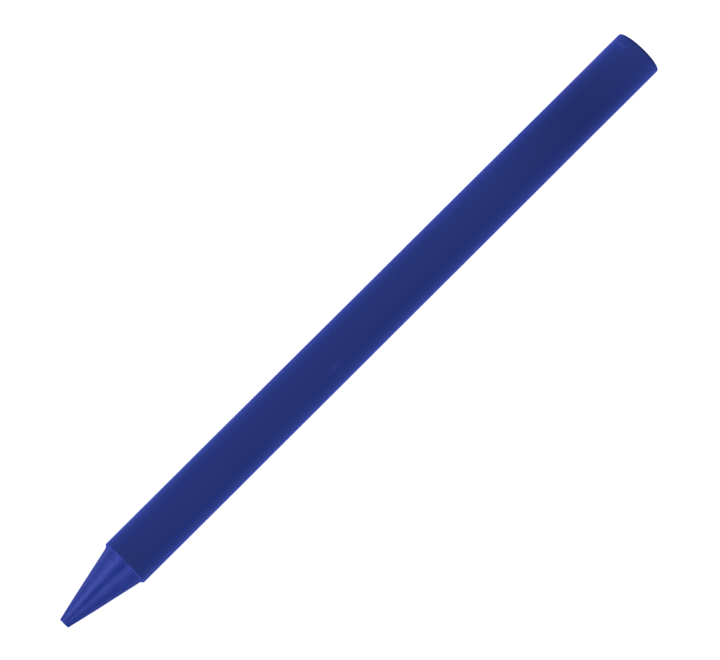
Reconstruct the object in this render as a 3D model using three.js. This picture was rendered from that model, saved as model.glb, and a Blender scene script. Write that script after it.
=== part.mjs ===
// A round plastic crayon: a solid stick of pigment compound, turned to a blunt writing cone, inside a thin
// smooth outer skin that ends in a bevelled lip behind the cone.
//
// Millimetres, +Z up. The crayon lies on its side on the plane Z = 0, with its axis along X: the writing tip
// points to -X and the rear end to +X. The origin is on the underside at mid-length.

import * as THREE from "three";

// The whole crayon
const LENGTH = 119.6; // writing flat to rear face
const BARREL_DIAMETER = 7.86;

// The core
const CORE_DIAMETER = 7.07;
const CONE_LENGTH = 12.0;
const TIP_FLAT_DIAMETER = 1.68;
const TIP_EDGE_RADIUS = 0.1;

// The skin
const SKIN_CLEARANCE = 0.03; // radial, between the core and the skin
const LIP_BEVEL = 0.35; // at 45 degrees, on the skin's front edge
const LIP_EDGE_RADIUS = 0.08; // where the bevel meets the barrel
const REAR_EDGE_RADIUS = 0.15;

// Flats round the axis. The skin has few and wide ones, so that the crayon rests on one without rolling away.
const CORE_SIDES = 48;
const SKIN_SIDES = 24;
const ARC_STEPS = 4; // chords in each rounded edge

// An outline point: x is the distance from the axis, y the distance from the writing flat.
const at = (radius, station) => new THREE.Vector2(radius, station);

// The points of an arc that rounds a corner between two straight edges, tangent to both.
function rounded(before, corner, after, radius) {
  const back = before.clone().sub(corner).normalize();
  const onward = after.clone().sub(corner).normalize();
  const halfAngle = Math.acos(back.dot(onward)) / 2;
  const reach = radius / Math.tan(halfAngle);
  const middle = back.clone().add(onward).normalize();
  const centre = corner.clone().addScaledVector(middle, radius / Math.sin(halfAngle));
  const start = corner.clone().addScaledVector(back, reach).sub(centre);
  const end = corner.clone().addScaledVector(onward, reach).sub(centre);
  const sweep = Math.atan2(start.cross(end), start.dot(end));
  const turns = Array.from({ length: ARC_STEPS + 1 }, (_, step) => (sweep * step) / ARC_STEPS);
  return turns.map((turn) => start.clone().rotateAround(at(0, 0), turn).add(centre));
}

// A named body of revolution about the crayon's axis. Its flats touch the outline's radii, and one of them
// faces straight down, so the barrel rests with its axis at exactly half its diameter.
function turned(name, outline, sides, material) {
  const halfSide = Math.PI / sides;
  const points = outline.map((point) => at(point.x / Math.cos(halfSide), point.y));
  const mesh = new THREE.Mesh(new THREE.LatheGeometry(points, sides, halfSide), material);
  mesh.name = name;
  return mesh;
}

// The stick itself: writing flat, cone, and a straight shank to the rear face.
function makeCore() {
  const shankRadius = CORE_DIAMETER / 2;
  const tipCentre = at(0, 0);
  const tipEdge = at(TIP_FLAT_DIAMETER / 2, 0);
  const coneRoot = at(shankRadius, CONE_LENGTH);
  const outline = [
    tipCentre,
    ...rounded(tipCentre, tipEdge, coneRoot, TIP_EDGE_RADIUS),
    coneRoot,
    at(shankRadius, LENGTH),
    at(0, LENGTH),
  ];
  const material = new THREE.MeshStandardMaterial({ color: 0x3546aa, roughness: 0.62, metalness: 0 });
  return turned("core", outline, CORE_SIDES, material);
}

// The tube round the shank: bevelled at the front, with a softened edge at the rear.
function makeBarrelSleeve() {
  const inner = CORE_DIAMETER / 2 + SKIN_CLEARANCE;
  const outer = BARREL_DIAMETER / 2;
  const frontInside = at(inner, CONE_LENGTH);
  const bevelFoot = at(outer - LIP_BEVEL, CONE_LENGTH);
  const bevelTop = at(outer, CONE_LENGTH + LIP_BEVEL);
  const rearCorner = at(outer, LENGTH);
  const rearInside = at(inner, LENGTH);
  const outline = [
    frontInside,
    bevelFoot,
    ...rounded(bevelFoot, bevelTop, rearCorner, LIP_EDGE_RADIUS),
    ...rounded(bevelTop, rearCorner, rearInside, REAR_EDGE_RADIUS),
    rearInside,
    frontInside,
  ];
  const material = new THREE.MeshStandardMaterial({ color: 0x27398c, roughness: 0.38, metalness: 0 });
  return turned("barrel_sleeve", outline, SKIN_SIDES, material);
}

// The lathe turns about +Y: this group lays that axis along +X at the height of the barrel's centre.
const axis = new THREE.Group();
axis.rotation.z = -Math.PI / 2;
axis.position.set(-LENGTH / 2, 0, BARREL_DIAMETER / 2);
axis.add(makeCore(), makeBarrelSleeve());

const crayon = new THREE.Group();
crayon.add(axis);

export default crayon;
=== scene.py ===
"""A round plastic crayon lying on a pale table.

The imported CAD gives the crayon's sizes and its place. Two detailed pieces stand for its two solids: the
pigment core with its scraped cone, and the skin round it. Metres, +Z up, with the crayon along X and its
writing tip at -X.

Shapes are worked out in millimetres on the crayon itself: station is the distance from the writing flat,
radius the distance from the axis, and turn the angle from the top towards +Y, in degrees.
"""

import math
import random

import bpy
from mathutils import Matrix, Vector, noise


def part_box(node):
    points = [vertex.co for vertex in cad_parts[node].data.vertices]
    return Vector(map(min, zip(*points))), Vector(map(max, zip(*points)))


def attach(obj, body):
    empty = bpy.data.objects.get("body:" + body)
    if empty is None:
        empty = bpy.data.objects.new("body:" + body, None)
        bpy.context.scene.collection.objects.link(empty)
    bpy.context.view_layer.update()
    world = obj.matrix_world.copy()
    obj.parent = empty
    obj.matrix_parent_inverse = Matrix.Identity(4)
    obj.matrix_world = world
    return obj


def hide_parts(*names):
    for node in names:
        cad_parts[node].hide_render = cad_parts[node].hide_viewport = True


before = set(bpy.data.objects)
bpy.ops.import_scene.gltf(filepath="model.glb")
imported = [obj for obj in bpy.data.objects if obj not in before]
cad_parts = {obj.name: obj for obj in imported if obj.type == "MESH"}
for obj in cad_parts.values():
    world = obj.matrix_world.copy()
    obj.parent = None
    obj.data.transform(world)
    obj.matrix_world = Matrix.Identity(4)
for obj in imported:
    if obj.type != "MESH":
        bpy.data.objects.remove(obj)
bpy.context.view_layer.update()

MM = 0.001  # metres

# Sizes from the frame
CORE_LOW, CORE_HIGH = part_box("core")
SKIN_LOW, SKIN_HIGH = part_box("barrel_sleeve")
TIP_X = CORE_LOW.x
AXIS_Z = (SKIN_LOW.z + SKIN_HIGH.z) / 2
LENGTH = (CORE_HIGH.x - CORE_LOW.x) / MM
LIP = (SKIN_LOW.x - CORE_LOW.x) / MM  # the station where the skin begins, at the root of the cone
CORE_RADIUS = (CORE_HIGH.z - CORE_LOW.z) / 2 / MM
SKIN_RADIUS = (SKIN_HIGH.z - SKIN_LOW.z) / 2 / MM

# Sizes that the frame's boxes don't show, in millimetres
BORE_CLEARANCE = 0.006  # between the core and the skin
BORE_RADIUS = CORE_RADIUS + BORE_CLEARANCE
TIP_FLAT_RADIUS = 0.84
REAR_SLANT = -0.025  # the rear cut is a little out of square: millimetres along for each one towards +Y
REAR_STRETCH = 4  # the last of the length, which leans with that cut and has close rings for its scuffs

# The camera
CAMERA_LENS = 220  # millimetres, as is the sensor's width
CAMERA_SENSOR = 36
CAMERA_CLIP = (0.01, 20)
CAMERA_DISTANCE = 0.64415
CAMERA_TILT = 7.675  # degrees from straight down, leaning towards the writing tip
CAMERA_ROLL = 44.836  # degrees, which lays the crayon along the picture's diagonal
CAMERA_AIM = Vector((1.015 * MM, -0.0615 * MM, AXIS_Z))


# ---------------------------------------------------------------- the camera

def place_camera():
    tilt, roll = math.radians(CAMERA_TILT), math.radians(CAMERA_ROLL)
    sight = Vector((math.sin(tilt), 0, -math.cos(tilt)))
    lengthwise = Vector((math.cos(tilt), 0, math.sin(tilt)))
    across = Vector((0, 1, 0))
    right = math.cos(roll) * lengthwise - math.sin(roll) * across
    up = math.sin(roll) * lengthwise + math.cos(roll) * across
    data = bpy.data.cameras.new("camera")
    data.lens = CAMERA_LENS
    data.sensor_width = CAMERA_SENSOR
    data.clip_start, data.clip_end = CAMERA_CLIP
    camera = bpy.data.objects.new("camera", data)
    turn = Matrix((right, up, -sight)).transposed().to_4x4()
    camera.matrix_world = Matrix.Translation(CAMERA_AIM - CAMERA_DISTANCE * sight) @ turn
    bpy.context.scene.collection.objects.link(camera)
    bpy.context.scene.camera = camera


# ---------------------------------------------------------------- turned meshes

SIDES = 192  # faces round each piece
ARC_STEPS = 6
EDGE_MARGIN = 0.03  # a ring this close to each corner keeps the shading of the faces beside it flat
ON_AXIS = 1e-6  # a ring of a smaller radius is a single point


class Corner:
    """A corner of a profile, in millimetres.

    Besides its place it has its rounding, and the spacing of the points on the way to the next corner.
    """

    def __init__(self, station, radius, rounding=0.0, spacing=None):
        self.at = Vector((station, radius))
        self.rounding = rounding
        self.spacing = spacing


def corner_arc(before, corner, after):
    """The points that round a corner, tangent to the edges on both sides of it."""
    if corner.rounding == 0:
        return [corner.at]
    back = (before.at - corner.at).normalized()
    onward = (after.at - corner.at).normalized()
    half = back.angle(onward) / 2
    centre = corner.at + (back + onward).normalized() * corner.rounding / math.sin(half)
    start = corner.at + back * corner.rounding / math.tan(half) - centre
    end = corner.at + onward * corner.rounding / math.tan(half) - centre
    sweep = start.angle_signed(end)
    turns = [Matrix.Rotation(-sweep * step / ARC_STEPS, 2) for step in range(ARC_STEPS + 1)]
    return [centre + turn @ start for turn in turns]


def straight(start, end, spacing):
    """The points between two ends, which are left out."""
    span = (end - start).length
    inset = min(EDGE_MARGIN, span / 4) / span
    count = max(1, round(span / spacing))
    shares = [inset, *(step / count for step in range(1, count)), 1 - inset]
    return [start.lerp(end, share) for share in shares]


def profile(corners, closed):
    """All the points of a profile, from its corners."""
    count = len(corners)
    arcs = []
    for index, corner in enumerate(corners):
        inside = closed or 0 < index < count - 1
        before, after = corners[index - 1], corners[(index + 1) % count]
        arcs.append(corner_arc(before, corner, after) if inside else [corner.at])
    points = []
    for index, corner in enumerate(corners):
        points += arcs[index]
        if closed or index < count - 1:
            points += straight(arcs[index][-1], arcs[(index + 1) % count][0], corner.spacing)
    return points


def normals(points, closed):
    """The outward direction at each point of a profile that keeps the material on its right."""
    count = len(points)
    found = []
    for index in range(count):
        before = points[index - 1] if closed or index > 0 else points[0]
        after = points[(index + 1) % count] if closed or index < count - 1 else points[-1]
        along = (after - before).normalized()
        found.append(Vector((-along.y, along.x)))
    return found


def place(station, radius, turn):
    """A point on the crayon, in the frame's metres. The rear stretch leans with the rear cut."""
    angle = math.radians(turn)
    y, z = radius * math.sin(angle), radius * math.cos(angle)
    slant = REAR_SLANT * y * max(0, 1 - (LENGTH - station) / REAR_STRETCH)
    return Vector((TIP_X + (station + slant) * MM, y * MM, AXIS_Z + z * MM))


def turned_piece(name, corners, closed, surface, material):
    """A closed mesh: a profile turned about the axis, with the fine relief that surface gives.

    surface(station, radius, turn) returns how far a point stands proud of the profile, in millimetres, and
    its tone: above 0 for rubbed and waxy surface and for painted light, and below 0 for dark surface and
    for painted shade.
    """
    points = profile(corners, closed)
    vertices, tones, rings = [], [], []
    for point, out in zip(points, normals(points, closed)):
        ring = []
        for side in range(1 if point.y < ON_AXIS else SIDES):
            turn = 360 * side / SIDES
            height, tone = surface(point.x, point.y, turn)
            moved = point + out * height
            ring.append(len(vertices))
            vertices.append(place(moved.x, max(moved.y, 0), turn))
            tones.append(tone)
        rings.append(ring)
    if closed:
        rings.append(rings[0])
    faces = []
    for near, far in zip(rings, rings[1:]):
        for side in range(SIDES):
            following = (side + 1) % SIDES
            corners_of_face = [
                near[side % len(near)],
                near[following % len(near)],
                far[following % len(far)],
                far[side % len(far)],
            ]
            faces.append(list(dict.fromkeys(corners_of_face)))
    mesh = bpy.data.meshes.new(name)
    mesh.from_pydata(vertices, [], faces)
    mesh.attributes.new("tone", "FLOAT", "POINT").data.foreach_set("value", tones)
    mesh.shade_smooth()
    mesh.materials.append(material)
    piece = bpy.data.objects.new(name, mesh)
    bpy.context.scene.collection.objects.link(piece)
    return piece


# ---------------------------------------------------------------- relief

SEED_STEP = Vector((3.7, 11.3, 7.9))  # the way from one seed's noise to the next one's


def wander(seed, *along):
    """Smooth noise from about -1 to 1, different for each seed.

    It takes up to three coordinates, each a length divided by the size of the noise's cells.
    """
    point = Vector((*along, 0, 0)[:3])
    return noise.noise(point + SEED_STEP * seed)


def wander_round(seed, turn, cells, station=0.0):
    """Noise that closes on itself round the axis, with about that many cells in a full turn."""
    angle, reach = math.radians(turn), cells / math.tau
    return wander(seed, reach * math.sin(angle), reach * math.cos(angle), station)


def bump(offset, width):
    """A smooth hill, 1 at its middle and nearly 0 beyond twice its width."""
    return math.exp(-((offset / width) ** 2))


def hills(table, station):
    """The sum of smooth hills along the crayon, given as (station, width, height)."""
    return sum(height * bump(station - middle, width) for middle, width, height in table)


def apart(turn, other):
    """The signed angle from one turn to another, in degrees, the short way round."""
    return (turn - other + 180) % 360 - 180


class Mark:
    """A small mark on a surface: a scratch, dent or rub.

    It is longer than it is wide, and lies along the crayon unless its slant, in degrees, turns it.
    """

    def __init__(self, station, turn, length, width, height, tone, slant=0.0):
        self.station, self.turn = station, turn
        self.length, self.width = length, width
        self.height, self.tone = height, tone
        self.lean = math.radians(slant)

    def strength(self, station, radius, turn):
        """From 1 in the mark's middle to 0 beyond its ends."""
        forward = station - self.station
        if abs(forward) > 2 * (self.length + self.width):
            return 0.0
        sideways = math.radians(apart(turn, self.turn)) * radius
        along = forward * math.cos(self.lean) + sideways * math.sin(self.lean)
        across = sideways * math.cos(self.lean) - forward * math.sin(self.lean)
        return bump(along, self.length / 2) * bump(across, self.width / 2)


def marks_at(marks, station, radius, turn):
    """The height and tone that marks add at a point."""
    height = tone = 0.0
    for mark in marks:
        strength = mark.strength(station, radius, turn)
        height += mark.height * strength
        tone += mark.tone * strength
    return height, tone


NEAR = 0.01  # the margin in telling which surface a point is on
FACE_DEPTH = 0.02  # a point this close to the rear end is on the rear face
CUT_ACROSS = (0.8, 0.6)  # Y and Z of the direction across the rear cut's lines
CUT_SPACING = 0.42
CUT_DEPTH = 0.004
CUT_UNEVENNESS = 0.012


def cut_marks(station, radius, turn):
    """The rear cut, the same across skin and core: shallow parallel lines with a slight wander."""
    point = place(station, radius, turn) / MM
    across = point.y * CUT_ACROSS[0] + (point.z - AXIS_Z / MM) * CUT_ACROSS[1]
    line = math.sin(math.tau * across / CUT_SPACING + 2.0 * wander(31, point.y / 2.5, point.z / 2.5))
    return CUT_DEPTH * line + CUT_UNEVENNESS * wander(32, point.y / 1.6, point.z / 1.6)


# ---------------------------------------------------------------- the scraped end

BAND_GROUND = -0.85  # the cone's tone between its light bands
GROUND_UNEVENNESS = 0.25
BAND_DRIFT = 1.5  # degrees to each side, along the cone
# Painted bands along the top of the cone: three painted highlights and one painted dark streak.
TOP_PAINTED_BANDS = [  # each a turn, a width in degrees, and its strengths at the lip and at the tip
    (21.5, 10.5, 1.85, 1.25),
    (36, 9, 0.1, 0.7),
    (-18, 10, 1.25, 0.75),
    (0, 8, -0.2, -0.1),
]
FAR_BANDS = (62, 290)  # the turns between which the bands are seeded ones


def cone_bands():
    """The painted bands on top, three painted highlights and a painted dark streak, and seeded scraped
    streaks round the rest of the cone.
    """
    draw = random.Random(5)
    bands = list(TOP_PAINTED_BANDS)
    turn, last_turn = FAR_BANDS
    while turn < last_turn:
        strength = draw.uniform(0.3, 1.3)
        bands.append((turn, draw.uniform(6, 13), strength, strength * draw.uniform(0.4, 1)))
        turn += draw.uniform(24, 44)
    return bands


CONE_BANDS = cone_bands()


def scraped_and_painted_bands(turn, station):
    """The cone's lengthwise bands, from about -1 where it is dark to 1 where it is light: scraped streaks,
    with painted highlights and a painted dark streak on top.
    """
    drift = BAND_DRIFT * wander(21, station / 5)
    light = BAND_GROUND + GROUND_UNEVENNESS * wander_round(22, turn, 48, station / 12)
    for band, width, at_lip, at_tip in CONE_BANDS:
        strength = at_tip + (at_lip - at_tip) * station / LIP
        light += strength * bump(apart(turn + drift, band), width)
    return light


# ---------------------------------------------------------------- the skin

BEVEL_FOOT = 0.05  # how far behind the lip the bevel starts
BEVEL_TOP = 0.37  # how far behind the lip it ends
BEVEL_ROUNDING = 0.08
LIP_EDGE = 0.02  # how far the blunt edge of the lip stands out from the bore
LIP_WORN = 0.35  # how far behind the lip it is worn uneven
REAR_ROUNDING = 0.14
REAR_NICKED_AND_SHADED = 0.24  # how far before the rear end its edge is nicked, and painted dark as shade on its rounding
MOUTH_DEPTH, MOUTH_FLARE = 0.08, 0.04  # the bore opens a little at the rear end
RING_SPACING = 0.45  # along the barrel, where nothing needs closer rings

# The bevel takes the cone's bands, painted highlights with them, and a lighter rim along its rounded top
# edge.
BEVEL_TONE = 0.34  # between the bands that run on over the bevel
BEVEL_BANDS = 0.5  # how strongly the bands show there
RIM_TONE = 0.3
RIM_WIDTH = 0.1
RIM_UNEVENNESS = 0.6
SKIN_CUT_TONE = 0.2
# Painted shade on the rounded rear edge.
REAR_EDGE_SHADE = -1.1

# Hills along the barrel, each as (station, width, height): in its radius, and in its tone, where they are
# painted shade behind the lip and before the rear and painted light at the rear end
BARREL_WAVES = [(32, 9, 0.015), (52, 6, 0.007), (104, 9, -0.018)]
BARREL_PAINTED_LIGHT_AND_SHADE = [(LIP, 4, -0.09), (106, 9, -0.25), (LENGTH, 6, 0.11)]
LINE_HEIGHT = 0.0025  # the fine lines along the skin
SWELL_HEIGHT = 0.004  # its broad unevenness
LIP_WAVE, LIP_NICK = 0.008, 0.006
REAR_NICK = 0.008
CLOUD_TONE = 0.03


def skin_marks():
    """Handling marks: a few clear ones, listed, and faint seeded ones all over."""
    draw = random.Random(7)
    marks = [  # station, turn, length, width, height, tone
        Mark(53.9, -20, 2.3, 0.5, 0.003, 0.22, slant=2),
        Mark(55.6, 2, 1.1, 0.6, -0.004, -0.10),
        Mark(117.95, 49, 1.9, 0.36, -0.005, 0.58, slant=-84),
        Mark(117.80, 34, 1.0, 0.32, -0.004, 0.36, slant=-54),
        Mark(117.25, 14, 0.8, 0.32, -0.003, 0.14, slant=-45),
        Mark(117.10, 45, 2.0, 0.30, -0.003, 0.15, slant=-88),
        Mark(114.4, 58, 2.2, 0.6, -0.003, 0.30, slant=-12),
        Mark(19.5, 47, 2.2, 0.35, 0.003, 0.25),
    ]
    for _ in range(46):
        marks.append(Mark(
            station=draw.uniform(LIP + 2, LENGTH - 2),
            turn=draw.uniform(0, 360),
            length=draw.uniform(0.6, 4.5),
            width=draw.uniform(0.25, 0.6),
            height=draw.uniform(-0.012, -0.002),
            tone=draw.uniform(-0.15, 0.13),
            slant=draw.gauss(0, 14),
        ))
    return marks


SKIN_MARKS = skin_marks()


def bevel_tone(station, turn):
    """The cone's bands, painted highlights with them, run on over the bevel, up to a lighter rim along its
    rounded top edge.
    """
    behind = station - LIP - BEVEL_TOP
    bands = BEVEL_TONE + BEVEL_BANDS * (scraped_and_painted_bands(turn, LIP) - BAND_GROUND)
    rim = RIM_TONE * bump(behind, RIM_WIDTH) * (1 + RIM_UNEVENNESS * wander_round(15, turn, 40))
    return (bands + rim) * min(1, max(0, 1 - behind / RIM_WIDTH))


def skin_surface(station, radius, turn):
    """The skin's relief and tone. Its bore, which is hidden, has none."""
    if radius < BORE_RADIUS + NEAR:
        return 0.0, 0.0
    if station > LENGTH - FACE_DEPTH:
        return cut_marks(station, radius, turn), SKIN_CUT_TONE
    height, tone = marks_at(SKIN_MARKS, station, radius, turn)
    height += hills(BARREL_WAVES, station)
    height += LINE_HEIGHT * wander_round(11, turn, 60, station / 45)
    height += SWELL_HEIGHT * wander_round(12, turn, 14, station / 18)
    lip_wear = LIP_WAVE * wander_round(13, turn, 26) + LIP_NICK * wander_round(14, turn, 90)
    height += bump(station - LIP, LIP_WORN) * lip_wear
    if station < LIP + BEVEL_TOP + RIM_WIDTH:
        tone += bevel_tone(station, turn)
    rear = bump(station - LENGTH, REAR_NICKED_AND_SHADED)
    height += rear * REAR_NICK * wander_round(16, turn, 34)
    # Painted shade on the rounded rear edge; the nicks above are real relief.
    tone += REAR_EDGE_SHADE * rear
    cloud = CLOUD_TONE * wander_round(17, turn, 5, station / 12)
    # The barrel's hills of painted shade and painted light, and a random cloud of tone.
    return height, tone + (hills(BARREL_PAINTED_LIGHT_AND_SHADE, station) + cloud)


def make_skin(material):
    corners = [
        Corner(LIP, BORE_RADIUS, spacing=0.1),
        Corner(LIP + BEVEL_FOOT, BORE_RADIUS + LIP_EDGE, rounding=0.01, spacing=0.06),
        Corner(LIP + BEVEL_TOP, SKIN_RADIUS, rounding=BEVEL_ROUNDING, spacing=0.05),
        Corner(LIP + BEVEL_TOP + 0.4, SKIN_RADIUS, spacing=RING_SPACING),
        Corner(LENGTH - REAR_STRETCH, SKIN_RADIUS, spacing=0.12),
        Corner(LENGTH, SKIN_RADIUS, rounding=REAR_ROUNDING, spacing=0.08),
        Corner(LENGTH, BORE_RADIUS + MOUTH_FLARE, spacing=0.03),
        Corner(LENGTH - MOUTH_DEPTH, BORE_RADIUS, spacing=LENGTH / 4),
    ]
    return turned_piece("skin", corners, True, skin_surface, material)


# ---------------------------------------------------------------- the core

TIP_ROUNDING = 0.12
FLAT_DEPTH = 0.05  # a point this close to the tip is on the writing flat
FLAT_TONE = 0.3
FLAT_UNEVENNESS = 0.02
BAND_HEIGHT = 0.008
SCRAPE_HEIGHT = 0.004
CONE_BELLY = 0.03  # how far the cone swells out of a straight taper at its fullest
BELLY_STATION, BELLY_WIDTH = 3.5, 4
RELIEF_AT_TIP, RELIEF_AT_LIP = 3, 0.4  # the lengths over which the cone's relief fades at its ends
ROOT_PAINTED_LIGHT, ROOT_WIDTH = 0.3, 0.15  # light painted at the cone's root, against the shade in its corner with the bevel
EDGE_DEPTH, EDGE_BREAK = 0.06, 0.05  # the core's edge at the rear end is a little broken
CORE_DISH = 0.05
CORE_CUT_TONE = 0.1


def core_marks():
    """Marks on the cone: one dark pit by the lip, and seeded small ones."""
    draw = random.Random(23)
    marks = [Mark(11.45, 24, 0.42, 0.38, -0.06, -2.0)]
    for _ in range(30):
        marks.append(Mark(
            station=draw.uniform(1.0, LIP - 0.8),
            turn=draw.uniform(0, 360),
            length=draw.uniform(0.4, 2.0),
            width=draw.uniform(0.15, 0.4),
            height=draw.uniform(-0.014, 0.004),
            tone=draw.uniform(-0.35, 0.35),
            slant=draw.gauss(0, 6),
        ))
    return marks


CORE_MARKS = core_marks()


def core_surface(station, radius, turn):
    """The core's relief and tone. Its shank, which is hidden in the skin, has none."""
    if station > LENGTH - FACE_DEPTH:
        dish = -CORE_DISH * (1 - (radius / CORE_RADIUS) ** 2)
        return cut_marks(station, radius, turn) + dish, CORE_CUT_TONE
    if station > LIP + NEAR:
        return 0.0, 0.0
    if station < FLAT_DEPTH:
        return FLAT_UNEVENNESS * wander_round(24, turn, 3 * radius), FLAT_TONE
    height, tone = marks_at(CORE_MARKS, station, radius, turn)
    # The bands are scraped streaks, and on top painted highlights and a painted dark streak.
    bands = scraped_and_painted_bands(turn, station)
    # Light painted at the root, against the shade in the corner with the bevel.
    tone += ROOT_PAINTED_LIGHT * bump(station - LIP, ROOT_WIDTH)
    full = min(1, station / RELIEF_AT_TIP) * min(1, (LIP - station) / RELIEF_AT_LIP)
    scrapes = wander_round(23, turn, 110, station / 5)
    height += full * (BAND_HEIGHT * bands + SCRAPE_HEIGHT * scrapes)
    height += full * CONE_BELLY * bump(station - BELLY_STATION, BELLY_WIDTH)
    return height, tone + bands


def make_core(material):
    corners = [
        Corner(0, 0, spacing=0.1),
        Corner(0, TIP_FLAT_RADIUS, rounding=TIP_ROUNDING, spacing=0.15),
        Corner(LIP, CORE_RADIUS, spacing=LENGTH / 4),
        Corner(LENGTH - EDGE_DEPTH, CORE_RADIUS, spacing=0.03),
        Corner(LENGTH, CORE_RADIUS - EDGE_BREAK, spacing=0.12),
        Corner(LENGTH, 0),
    ]
    return turned_piece("pigment_stick", corners, False, core_surface, material)


# ---------------------------------------------------------------- materials

# Linear colours
# The dark end of the skin's tone: dark marks and painted shade.
SKIN_DARK = (0.005, 0.009, 0.06)
SKIN_DEEP = (0.0210, 0.0396, 0.212)
SKIN_MID = (0.0224, 0.0420, 0.224)
SKIN_LIGHT = (0.0240, 0.0446, 0.238)
# The light end of the skin's tone: rubs and marks, the rear cut face, and painted highlights and painted
# light.
SKIN_RUB_AND_HIGHLIGHT = (0.064, 0.100, 0.52)
# The ends of the cone's tone: its light and dark streaks, with the painted highlights, painted dark streak
# and painted root light among them.
CORE_DARK = (0.0205, 0.0480, 0.360)
CORE_LIGHT = (0.087, 0.115, 0.585)
BLUE_BLOOM = (0.02, 0.09, 1.0, 1)

NOISE_SPAN = (0.3, 0.7)  # nearly all of a noise texture's values lie between these
MIX_SHARE, MIX_FIRST, MIX_SECOND, MIX_RESULT = 0, 6, 7, 2  # a Mix node's sockets when it mixes colours


def add_node(tree, kind, settings=None, inputs=None):
    """A node with its settings and inputs. An input given as a socket is linked, and any other is set."""
    node = tree.nodes.new(kind)
    for name, value in (settings or {}).items():
        setattr(node, name, value)
    for name, value in (inputs or {}).items():
        if isinstance(value, bpy.types.NodeSocket):
            tree.links.new(value, node.inputs[name])
        else:
            node.inputs[name].default_value = value
    return node


def blended(tree, share, first, second):
    """A colour between two, by a share from 0 to 1. Each colour is a socket or a plain one."""
    inputs = {MIX_SHARE: share, MIX_FIRST: first, MIX_SECOND: second}
    for index in (MIX_FIRST, MIX_SECOND):
        if isinstance(inputs[index], tuple):
            inputs[index] = (*inputs[index], 1)
    return add_node(tree, "ShaderNodeMix", {"data_type": "RGBA"}, inputs).outputs[MIX_RESULT]


def ranged(tree, value, low, high, to_low=0.0, to_high=1.0):
    """A value mapped from one range to another, and held inside it."""
    inputs = {"Value": value, "From Min": low, "From Max": high, "To Min": to_low, "To Max": to_high}
    return add_node(tree, "ShaderNodeMapRange", None, inputs).outputs["Result"]


def summed(tree, *values):
    total = values[0]
    for value in values[1:]:
        total = add_node(tree, "ShaderNodeMath", {"operation": "ADD"}, {0: total, 1: value}).outputs[0]
    return total


def lengthwise_noise(tree, seed, length, width, detail=2.0):
    """Noise drawn out along the crayon: its grains are about length by width, in millimetres."""
    coordinates = add_node(tree, "ShaderNodeTexCoord").outputs["Object"]
    mapping = add_node(tree, "ShaderNodeMapping", None, {
        "Vector": coordinates,
        "Location": (seed * 1.7, seed * 2.3, seed * 0.9),
        "Scale": (1 / (length * MM), 1 / (width * MM), 1 / (width * MM)),
    })
    inputs = {"Vector": mapping.outputs[0], "Scale": 1.0, "Detail": detail}
    return add_node(tree, "ShaderNodeTexNoise", None, inputs).outputs["Fac"]


def tone_of(tree):
    """The tone that turned_piece stored on the mesh."""
    return add_node(tree, "ShaderNodeAttribute", {"attribute_name": "tone"}).outputs["Fac"]


def new_material(name, constants):
    """A material with one shader, whose even values are constants."""
    material = bpy.data.materials.new(name)
    material.use_nodes = True
    tree = material.node_tree
    tree.nodes.clear()
    shader = add_node(tree, "ShaderNodeBsdfPrincipled", None, constants)
    output = add_node(tree, "ShaderNodeOutputMaterial")
    tree.links.new(shader.outputs[0], output.inputs["Surface"])
    return material, tree, shader


def surface_bump(tree, shader, *layers):
    """Stacks bumps, each a (height socket, depth in metres), on the shader's normal."""
    normal = None
    for height, depth in layers:
        inputs = {"Height": height, "Distance": depth, "Strength": 1.0}
        if normal:
            inputs["Normal"] = normal
        normal = add_node(tree, "ShaderNodeBump", None, inputs).outputs["Normal"]
    tree.links.new(normal, shader.inputs["Normal"])


def skin_material():
    """Smooth ultramarine plastic with a satin gloss, faint drawn lines and a handled surface, with painted
    shade and painted highlights in its tone.
    """
    material, tree, shader = new_material("skin_plastic", {
        "Specular IOR Level": 0.12,
        "Sheen Weight": 0.9,
        "Sheen Roughness": 0.58,
        "Sheen Tint": BLUE_BLOOM,
    })
    lines = lengthwise_noise(tree, 1, 30, 0.35)
    cloud = lengthwise_noise(tree, 2, 9, 3)
    grain = lengthwise_noise(tree, 3, 0.12, 0.08, detail=3)
    deep = blended(tree, ranged(tree, lines, *NOISE_SPAN), SKIN_DEEP, SKIN_MID)
    colour = blended(tree, ranged(tree, cloud, 0.35, 0.75, 0, 0.5), deep, SKIN_LIGHT)
    tone = tone_of(tree)
    # Below 0 the tone goes dark for marks and painted shade; above 0 it goes light for rubs, marks, the cut
    # face, painted highlights and painted light.
    colour = blended(tree, ranged(tree, tone, 0, -1), colour, SKIN_DARK)
    colour = blended(tree, ranged(tree, tone, 0, 1), colour, SKIN_RUB_AND_HIGHLIGHT)
    tree.links.new(colour, shader.inputs["Base Color"])
    roughness = summed(
        tree,
        ranged(tree, cloud, *NOISE_SPAN, 0.40, 0.50),
        ranged(tree, lines, *NOISE_SPAN, -0.04, 0.04),
        ranged(tree, tone, 0, 1, 0, 0.18),
    )
    tree.links.new(roughness, shader.inputs["Roughness"])
    surface_bump(tree, shader, (lines, 0.008 * MM), (grain, 0.003 * MM))
    return material


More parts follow.
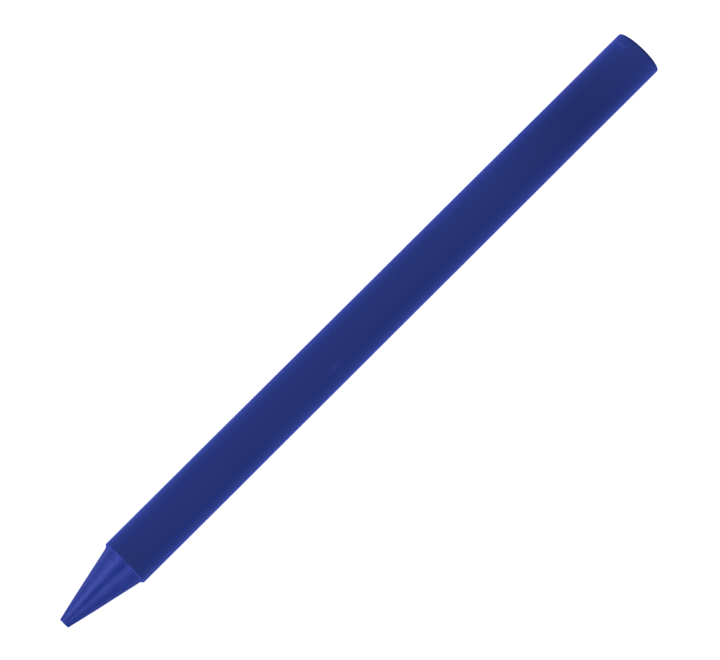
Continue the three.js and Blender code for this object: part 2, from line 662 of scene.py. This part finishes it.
def core_material():
    """Waxy ultramarine compound, scraped lengthwise into light and dark streaks; along its top the streaks
    are painted highlights and a painted dark streak, and light is painted at the cone's root.
    """
    material, tree, shader = new_material("core_wax", {
        "Specular IOR Level": 0.12,
        "Sheen Weight": 0.35,
        "Sheen Roughness": 0.41,
        "Sheen Tint": BLUE_BLOOM,
    })
    scrape = lengthwise_noise(tree, 4, 4, 0.16, detail=3)
    cloud = lengthwise_noise(tree, 5, 2.5, 0.9)
    grain = lengthwise_noise(tree, 6, 0.10, 0.08, detail=3)
    speckle = lengthwise_noise(tree, 7, 0.5, 0.3, detail=1)
    tone = tone_of(tree)
    # The tone carries the scraped streaks and marks, and the painted highlights, dark streak and root
    # light.
    light = summed(
        tree,
        ranged(tree, tone, -1, 1),
        ranged(tree, scrape, *NOISE_SPAN, -0.12, 0.12),
        ranged(tree, cloud, *NOISE_SPAN, -0.08, 0.08),
        ranged(tree, speckle, 0.35, 0.65, -0.06, 0.06),
    )
    colour = blended(tree, ranged(tree, light, 0, 1), CORE_DARK, CORE_LIGHT)
    tree.links.new(colour, shader.inputs["Base Color"])
    tree.links.new(ranged(tree, light, 0, 1, 0.62, 0.48), shader.inputs["Roughness"])
    surface_bump(tree, shader, (scrape, 0.012 * MM), (grain, 0.006 * MM))
    return material


# ---------------------------------------------------------------- the studio

FLOOR_REACH = 6  # metres from the middle to each side
FLOOR_GREY = (0.8, 0.8, 0.8, 1)
FLOOR_WHITE = (0.72, 0.72, 0.72)  # the floor's glow as the camera sees it
FLOOR_COOL = (0.22, 0.25, 0.32)  # its glow as it lights the crayon
STUDIO_LEVEL = 0.281
STUDIO_OVERHEAD = 0.497
STUDIO_WINDOW = (-0.06, 0.15)  # added from -Y and from +Y


def make_floor():
    reach = FLOOR_REACH
    corners = [(-reach, -reach, 0), (reach, -reach, 0), (reach, reach, 0), (-reach, reach, 0)]
    mesh = bpy.data.meshes.new("floor")
    mesh.from_pydata(corners, [], [(0, 1, 2, 3)])
    floor = bpy.data.objects.new("floor", mesh)
    bpy.context.scene.collection.objects.link(floor)
    material, tree, shader = new_material("floor_paper", {
        "Base Color": FLOOR_GREY,
        "Roughness": 1,
        "Specular IOR Level": 0,
        "Emission Strength": 1,
    })
    seen = add_node(tree, "ShaderNodeLightPath").outputs["Is Camera Ray"]
    tree.links.new(blended(tree, seen, FLOOR_COOL, FLOOR_WHITE), shader.inputs["Emission Color"])
    mesh.materials.append(material)


def light_world():
    """A soft studio, brighter overhead and towards +Y. The camera sees it white."""
    world = bpy.data.worlds.new("studio")
    bpy.context.scene.world = world
    world.use_nodes = True
    tree = world.node_tree
    tree.nodes.clear()
    direction = add_node(tree, "ShaderNodeTexCoord").outputs["Generated"]
    parts = add_node(tree, "ShaderNodeSeparateXYZ", None, {0: direction})
    overhead = ranged(tree, parts.outputs["Z"], 0, 1, 0, STUDIO_OVERHEAD)
    window = ranged(tree, parts.outputs["Y"], -1, 1, *STUDIO_WINDOW)
    light = summed(tree, overhead, window, STUDIO_LEVEL)
    seen = add_node(tree, "ShaderNodeLightPath").outputs["Is Camera Ray"]
    strength = add_node(tree, "ShaderNodeMath", {"operation": "MAXIMUM"}, {0: light, 1: seen}).outputs[0]
    background = add_node(tree, "ShaderNodeBackground", None, {"Color": (1, 1, 1, 1), "Strength": strength})
    output = add_node(tree, "ShaderNodeOutputWorld")
    tree.links.new(background.outputs[0], output.inputs["Surface"])


place_camera()
bpy.context.scene.view_settings.view_transform = "Standard"
skin = make_skin(skin_material())
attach(skin, "root")
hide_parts("barrel_sleeve")
core = make_core(core_material())
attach(core, "root")
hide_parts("core")
make_floor()
light_world()
